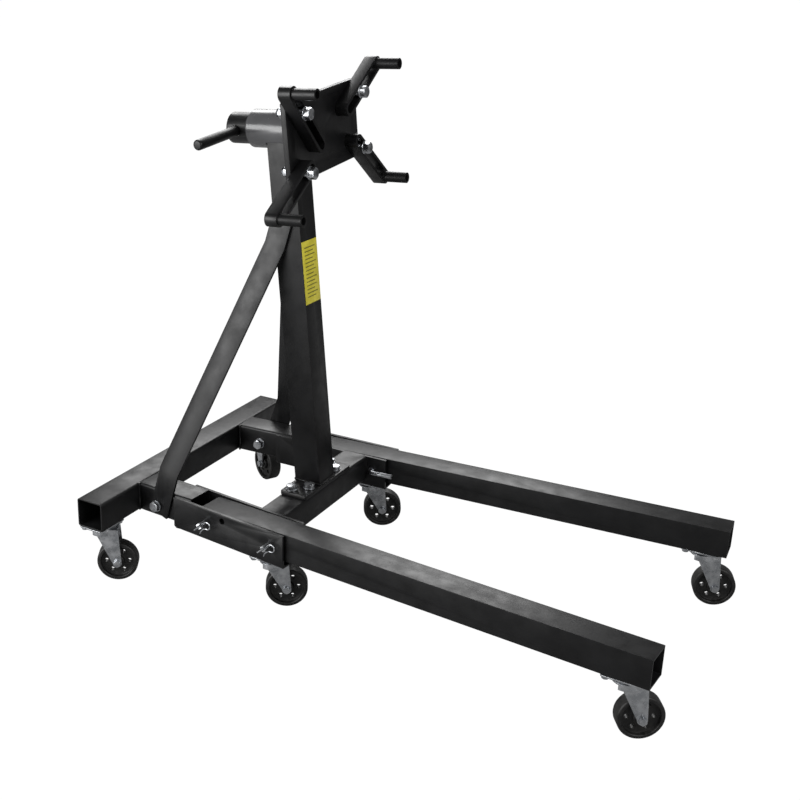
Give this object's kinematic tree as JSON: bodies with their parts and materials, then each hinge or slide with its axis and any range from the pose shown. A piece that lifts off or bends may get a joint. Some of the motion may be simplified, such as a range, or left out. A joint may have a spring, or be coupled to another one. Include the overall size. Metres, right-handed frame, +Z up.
{
  "type": "engine stand",
  "caption": "Folding engine stand: tubular base on swivel casters, leaning braced upright, rotating head with slotted arms and a turning bar.",
  "frame": {"origin": "on the floor under the middle of the whole stand's box, in the working pose", "axes": "+X from the rear cross tube to the free ends of the legs, +Y to the left seen from behind, +Z up"},
  "size_m": [1.1523, 0.662, 1.0123],
  "materials": {
    "black_coat": "semi-gloss black powder coat on welded steel",
    "grey_coat": "glossier dark grey coat on the head sleeve",
    "zinc": "bright zinc plating",
    "wheel_rubber": "smooth black moulded wheel",
    "label": "yellow vinyl label with plain bars"
  },
  "bodies": {
    "base": {"rear_cross_tube": "black_coat", "front_cross_tube": "black_coat", "upright_base_plate": "black_coat", "upright_tube": "black_coat", "head_sleeve": "grey_coat", "base_bolt_1": "zinc", "base_bolt_2": "zinc", "base_bolt_3": "zinc", "base_bolt_4": "zinc", "leg_channel_left": "black_coat", "brace_left": "black_coat", "brace_bolt_left": "zinc", "pivot_pin_left": "zinc", "pivot_clip_left": "zinc", "rear_caster_left_plate": "zinc", "middle_caster_left_plate": "zinc", "leg_channel_right": "black_coat", "brace_right": "black_coat", "brace_bolt_right": "zinc", "pivot_pin_right": "zinc", "pivot_clip_right": "zinc", "rear_caster_right_plate": "zinc", "middle_caster_right_plate": "zinc"},
    "leg_left": {"leg_left": "black_coat", "front_caster_left_plate": "zinc"},
    "lock_pin_left": {"lock_pin_left": "zinc"},
    "lock_clip_left": {"lock_clip_left": "zinc"},
    "leg_right": {"leg_right": "black_coat", "front_caster_right_plate": "zinc"},
    "lock_pin_right": {"lock_pin_right": "zinc"},
    "lock_clip_right": {"lock_clip_right": "zinc"},
    "rear_caster_left_swivel": {"rear_caster_left_fork": "zinc", "rear_caster_left_axle": "zinc"},
    "rear_caster_left_wheel": {"rear_caster_left_wheel": "wheel_rubber"},
    "middle_caster_left_swivel": {"middle_caster_left_fork": "zinc", "middle_caster_left_axle": "zinc"},
    "middle_caster_left_wheel": {"middle_caster_left_wheel": "wheel_rubber"},
    "front_caster_left_swivel": {"front_caster_left_fork": "zinc", "front_caster_left_axle": "zinc"},
    "front_caster_left_wheel": {"front_caster_left_wheel": "wheel_rubber"},
    "rear_caster_right_swivel": {"rear_caster_right_fork": "zinc", "rear_caster_right_axle": "zinc"},
    "rear_caster_right_wheel": {"rear_caster_right_wheel": "wheel_rubber"},
    "middle_caster_right_swivel": {"middle_caster_right_fork": "zinc", "middle_caster_right_axle": "zinc"},
    "middle_caster_right_wheel": {"middle_caster_right_wheel": "wheel_rubber"},
    "front_caster_right_swivel": {"front_caster_right_fork": "zinc", "front_caster_right_axle": "zinc"},
    "front_caster_right_wheel": {"front_caster_right_wheel": "wheel_rubber"},
    "head": {"head_shaft": "black_coat", "mounting_plate": "black_coat"},
    "handle_bar": {"handle_bar": "black_coat"},
    "arm_bolt_top_right": {"arm_bolt_top_right": "zinc"},
    "arm_top_right": {"arm_top_right": "black_coat"},
    "arm_bolt_bottom_right": {"arm_bolt_bottom_right": "zinc"},
    "arm_bottom_right": {"arm_bottom_right": "black_coat"},
    "arm_bolt_top_left": {"arm_bolt_top_left": "zinc"},
    "arm_top_left": {"arm_top_left": "black_coat"},
    "arm_bolt_bottom_left": {"arm_bolt_bottom_left": "zinc"},
    "arm_bottom_left": {"arm_bottom_left": "black_coat"}
  },
  "joints": [
    {"name": "leg_left_fold", "type": "hinge", "parent": "base", "child": "leg_left", "pos_m": [-0.33993, 0.19228, 0.148], "axis": [0.0698, -0.9976, 0], "range_deg": [0, 65]},
    {"name": "lock_pin_left_pull", "type": "slide", "parent": "base", "child": "lock_pin_left", "axis": [0.0698, -0.9976, 0], "range_m": [0, 0.1]},
    {"name": "lock_clip_left_pull", "type": "slide", "parent": "base", "child": "lock_clip_left", "axis": [0.7413, 0.0518, 0.6691], "range_m": [0, 0.032]},
    {"name": "leg_right_fold", "type": "hinge", "parent": "base", "child": "leg_right", "pos_m": [-0.33993, -0.19228, 0.148], "axis": [-0.0698, -0.9976, 0], "range_deg": [0, 65]},
    {"name": "lock_pin_right_pull", "type": "slide", "parent": "base", "child": "lock_pin_right", "axis": [0.0698, 0.9976, 0], "range_m": [0, 0.1]},
    {"name": "lock_clip_right_pull", "type": "slide", "parent": "base", "child": "lock_clip_right", "axis": [0.7413, -0.0518, 0.6691], "range_m": [0, 0.032]},
    {"name": "rear_caster_left_swivel", "type": "hinge", "parent": "base", "child": "rear_caster_left_swivel", "pos_m": [-0.5455, 0.294, 0.1], "axis": [0, 0, 1], "continuous": true},
    {"name": "rear_caster_left_roll", "type": "hinge", "parent": "rear_caster_left_swivel", "child": "rear_caster_left_wheel", "pos_m": [-0.51989, 0.28038, 0.041], "axis": [0.4695, 0.8829, 0], "continuous": true},
    {"name": "middle_caster_left_swivel", "type": "hinge", "parent": "base", "child": "middle_caster_left_swivel", "pos_m": [-0.20426, 0.20176, 0.1], "axis": [0, 0, 1], "continuous": true},
    {"name": "middle_caster_left_roll", "type": "hinge", "parent": "middle_caster_left_swivel", "child": "middle_caster_left_wheel", "pos_m": [-0.17866, 0.21538, 0.041], "axis": [-0.4695, 0.8829, 0], "continuous": true},
    {"name": "front_caster_left_swivel", "type": "hinge", "parent": "leg_left", "child": "front_caster_left_swivel", "pos_m": [0.50601, 0.25143, 0.1], "axis": [0, 0, 1], "continuous": true},
    {"name": "front_caster_left_roll", "type": "hinge", "parent": "front_caster_left_swivel", "child": "front_caster_left_wheel", "pos_m": [0.53289, 0.26229, 0.041], "axis": [-0.3746, 0.9272, 0], "continuous": true},
    {"name": "rear_caster_right_swivel", "type": "hinge", "parent": "base", "child": "rear_caster_right_swivel", "pos_m": [-0.5455, -0.294, 0.1], "axis": [0, 0, 1], "continuous": true},
    {"name": "rear_caster_right_roll", "type": "hinge", "parent": "rear_caster_right_swivel", "child": "rear_caster_right_wheel", "pos_m": [-0.52064, -0.27906, 0.041], "axis": [-0.515, 0.8572, 0], "continuous": true},
    {"name": "middle_caster_right_swivel", "type": "hinge", "parent": "base", "child": "middle_caster_right_swivel", "pos_m": [-0.20426, -0.20176, 0.1], "axis": [0, 0, 1], "continuous": true},
    {"name": "middle_caster_right_roll", "type": "hinge", "parent": "middle_caster_right_swivel", "child": "middle_caster_right_wheel", "pos_m": [-0.1794, -0.18683, 0.041], "axis": [-0.515, 0.8572, 0], "continuous": true},
    {"name": "front_caster_right_swivel", "type": "hinge", "parent": "leg_right", "child": "front_caster_right_swivel", "pos_m": [0.50601, -0.25143, 0.1], "axis": [0, 0, 1], "continuous": true},
    {"name": "front_caster_right_roll", "type": "hinge", "parent": "front_caster_right_swivel", "child": "front_caster_right_wheel", "pos_m": [0.53033, -0.23564, 0.041], "axis": [-0.5446, 0.8387, 0], "continuous": true},
    {"name": "head_turn", "type": "hinge", "parent": "base", "child": "head", "pos_m": [-0.2235, 0, 0.89], "axis": [0.998, 0, 0.0628], "continuous": true},
    {"name": "handle_bar_slide", "type": "slide", "parent": "head", "child": "handle_bar", "axis": [-0.005, 0.9968, 0.08], "range_m": [0, 0.12]},
    {"name": "arm_top_right_swing", "type": "hinge", "parent": "head", "child": "arm_bolt_top_right", "pos_m": [-0.22629, -0.10792, 0.9344], "axis": [0.998, 0, 0.0628], "range_deg": [-5, 25]},
    {"name": "arm_top_right_slide", "type": "slide", "parent": "arm_bolt_top_right", "child": "arm_top_right", "axis": [-0.0462, -0.6769, 0.7346], "range_m": [-0.015, 0.06]},
    {"name": "arm_bottom_right_swing", "type": "hinge", "parent": "head", "child": "arm_bolt_bottom_right", "pos_m": [-0.21966, -0.09941, 0.82895], "axis": [0.998, 0, 0.0628], "range_deg": [-20, 20]},
    {"name": "arm_bottom_right_slide", "type": "slide", "parent": "arm_bolt_bottom_right", "child": "arm_bottom_right", "axis": [0.0329, -0.8517, -0.523], "range_m": [-0.01, 0.01]},
    {"name": "arm_top_left_swing", "type": "hinge", "parent": "head", "child": "arm_bolt_top_left", "pos_m": [-0.22734, 0.09941, 0.95105], "axis": [0.998, 0, 0.0628], "range_deg": [-20, 20]},
    {"name": "arm_top_left_slide", "type": "slide", "parent": "arm_bolt_top_left", "child": "arm_top_left", "axis": [-0.0338, 0.8425, 0.5377], "range_m": [-0.02, 0.04]},
    {"name": "arm_bottom_left_swing", "type": "hinge", "parent": "head", "child": "arm_bolt_bottom_left", "pos_m": [-0.22071, 0.10792, 0.8456], "axis": [0.998, 0, 0.0628], "range_deg": [-20, 20]},
    {"name": "arm_bottom_left_slide", "type": "slide", "parent": "arm_bolt_bottom_left", "child": "arm_bottom_left", "axis": [0.039, 0.7837, -0.6199], "range_m": [-0.02, 0.015]}
  ]
}
